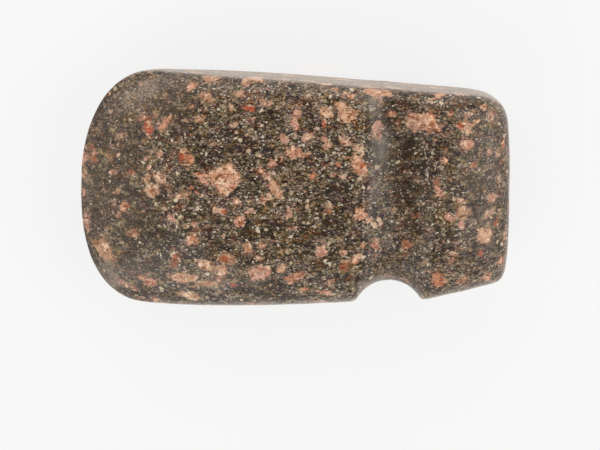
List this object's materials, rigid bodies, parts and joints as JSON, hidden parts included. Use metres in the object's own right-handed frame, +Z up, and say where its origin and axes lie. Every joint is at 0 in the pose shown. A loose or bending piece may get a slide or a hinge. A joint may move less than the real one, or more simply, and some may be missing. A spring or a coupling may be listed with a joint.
{
  "type": "grooved stone axe head",
  "caption": "Axe head of pink-speckled stone, ground smooth: round bit, blunt poll, flat back, and a haft groove over both faces and the belly.",
  "frame": {"origin": "middle of the underside of the head's box, on the flat that the head lies on", "axes": "+X from the cutting edge to the poll, +Y from the grooved belly to the flat back, +Z up through the broad faces"},
  "size_m": [0.165, 0.091, 0.0483],
  "materials": {
    "stone": "ground smooth and lightly polished, dark speckled ground with pink and orange feldspar crystals"
  },
  "bodies": {
    "root": {"axe_head": "stone"}
  },
  "joints": []
}
